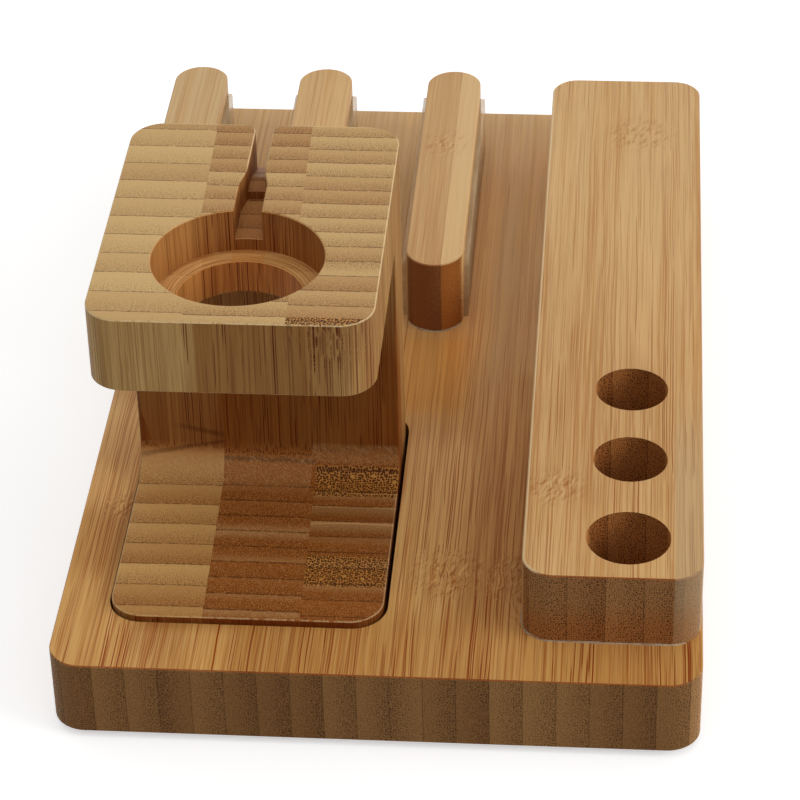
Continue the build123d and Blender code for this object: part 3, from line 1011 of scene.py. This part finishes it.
def glue_bead(name, path, material):
    """A thin uneven line of glue squeezed out at a foot. The path is (x, y, outward x, outward y)."""
    points, faces = [], []
    for x, y, out_x, out_y in path:
        wide = BEAD_WIDE + BEAD_VARIES * noise.noise(Vector((x * WIDE_RATE, y * WIDE_RATE, WIDE_CUT)))
        tall = BEAD_TALL + BEAD_VARIES * noise.noise(Vector((x * TALL_RATE, y * TALL_RATE, TALL_CUT)))
        for share, up in BEAD_SECTION:
            out = wide * share
            points.append((x + out_x * out, y + out_y * out, DECK + tall * up))
    corners = len(BEAD_SECTION)
    for start in range(0, len(points) - corners, corners):
        for corner in range(corners):
            after = (corner + 1) % corners
            faces.append((start + corner, start + corners + corner, start + corners + after, start + after))
    faces.append(tuple(range(corners)))
    faces.append(tuple(range(len(points) - corners, len(points)))[::-1])
    add_mesh(name, points, faces, material, "silicone", "base")


# How many degrees of a peg's end carry glue, and the steps along it and round the block
PEG_GLUE = 130
PEG_STEP = 2.5
BLOCK_STEP = 0.8
BLOCK_CORNER_STEPS = 12


def add_glue(material):
    """Glue lines round the pegs' ends and round the pen block, except along its right."""
    for side in ("left", "middle", "right"):
        low, high = millimetres("peg_" + side)
        reach = (high.x - low.x) / 2
        middle = (low.x + high.x) / 2
        for end, centre_y, toward in (("front", low.y + reach, 270), ("back", high.y - reach, 90)):
            path = []
            for step in range(round(PEG_GLUE / PEG_STEP) + 1):
                angle = radians(toward - PEG_GLUE / 2 + step * PEG_STEP)
                out_x, out_y = cos(angle), sin(angle)
                path.append((middle + reach * out_x, centre_y + reach * out_y, out_x, out_y))
            glue_bead(f"glue_{side}_peg_{end}", path, material)
    low, high = millimetres("pen_block")
    path = []
    turn = BLOCK_ROUND
    corners = ((high.x - turn, low.y + turn, 300, 270), (low.x + turn, low.y + turn, 270, 180),
               (low.x + turn, high.y - turn, 180, 90), (high.x - turn, high.y - turn, 90, 60))
    for centre_x, centre_y, start, stop in corners:
        if path:
            x, y, out_x, out_y = path[-1]
            next_x, next_y = centre_x + turn * cos(radians(start)), centre_y + turn * sin(radians(start))
            steps = round(max(abs(next_x - x), abs(next_y - y)) / BLOCK_STEP)
            for step in range(1, steps):
                share = step / steps
                path.append((x + (next_x - x) * share, y + (next_y - y) * share, out_x, out_y))
        for step in range(BLOCK_CORNER_STEPS + 1):
            angle = radians(start + (stop - start) * step / BLOCK_CORNER_STEPS)
            out_x, out_y = cos(angle), sin(angle)
            path.append((centre_x + turn * out_x, centre_y + turn * out_y, out_x, out_y))
    glue_bead("glue_pen_block", path[::-1], material)


add_feet(rubber())
add_screws(steel())
add_strips(silicone())
add_glue(glue())


def set_floor():
    """A plain floor: white to the camera, greyer to the light that it throws back."""
    mesh = bpy.data.meshes.new("floor")
    corners = [(x * FLOOR_HALF, y * FLOOR_HALF, 0) for x, y in ((-1, -1), (1, -1), (1, 1), (-1, 1))]
    mesh.from_pydata(corners, [], [(0, 1, 2, 3)])
    floor = bpy.data.objects.new("floor", mesh)
    scene.collection.objects.link(floor)
    s = Shader(bpy.data.materials.new("floor"))
    path = s.node("LightPath")
    seen = s.math("MAXIMUM", path.outputs["Is Camera Ray"], path.outputs["Is Glossy Ray"])
    s.finish({"Base Color": s.colour(seen, FLOOR_BOUNCED, FLOOR_SEEN), "Roughness": 1.0,
              "Specular IOR Level": 0.0, "Emission Color": WHITE,
              "Emission Strength": s.mul(seen, FLOOR_GLOW)})
    floor.data.materials.append(s.owner)


def set_world():
    """White to the camera. The object is lit by a soft dome that is brightest above and in front,
    and mirrors a white wall behind it."""
    s = Shader(bpy.data.worlds.new("studio"))
    scene.world = s.owner
    towards = s.node("TexCoord").outputs["Generated"]
    y, z = s.node("SeparateXYZ", {0: towards}).outputs[1:3]
    dome = s.blend(s.step(z, 0.7, 0.95), s.step(z, 0.2, 0.65), s.step(y, 0.3, -0.4))
    wall = s.mul(s.step(y, -0.1, 0.5), s.step(z, 0.62, 0.42))
    strength = s.add(s.blend(LOW_LIGHT, HIGH_LIGHT, dome), s.mul(wall, WALL_LIGHT))
    seen = s.node("LightPath").outputs["Is Camera Ray"]
    strength = s.blend(strength, 1.0, seen)
    background = s.node("Background", {"Color": WHITE, "Strength": strength})
    s.tree.links.new(background.outputs[0], s.node("OutputWorld").inputs[0])


def set_lamp(name, place, target, size, power):
    """A square lamp. Places and its side are in metres, and its power in watts."""
    lamp = bpy.data.lights.new(name, "AREA")
    lamp.shape = "SQUARE"
    lamp.size = size
    lamp.energy = power
    made = bpy.data.objects.new(name, lamp)
    made.location = place
    made.rotation_mode = "QUATERNION"
    made.rotation_quaternion = (Vector(target) - Vector(place)).to_track_quat("-Z", "Y")
    scene.collection.objects.link(made)


def set_camera():
    """The camera as the photograph's perspective gives it."""
    pitch, yaw, roll = radians(CAMERA_PITCH), radians(CAMERA_YAW), radians(CAMERA_ROLL)
    ahead = Vector((-sin(yaw) * cos(pitch), cos(yaw) * cos(pitch), sin(pitch)))
    level = Vector((cos(yaw), sin(yaw), 0))
    above = level.cross(ahead)
    right = level * cos(roll) + above * sin(roll)
    up = above * cos(roll) - level * sin(roll)
    lens = bpy.data.cameras.new("camera")
    lens.sensor_width = SENSOR_WIDE
    lens.lens = FOCAL_PX * SENSOR_WIDE / PHOTO_WIDE
    lens.shift_x = (PHOTO_WIDE / 2 - CENTRE_PX[0]) / PHOTO_WIDE
    lens.shift_y = (CENTRE_PX[1] - PHOTO_WIDE / 2) / PHOTO_WIDE
    lens.clip_end = CAMERA_SEES
    camera = bpy.data.objects.new("camera", lens)
    turn = Matrix((right, up, -ahead)).transposed().to_4x4()
    camera.matrix_world = Matrix.Translation(CAMERA_PLACE) @ turn
    scene.collection.objects.link(camera)
    scene.camera = camera


set_floor()
set_world()
set_lamp("softbox", place=(1.1, -0.35, 0.5), target=(0, 0, 0.03), size=0.6, power=6)
set_camera()
scene.view_settings.view_transform = "Standard"
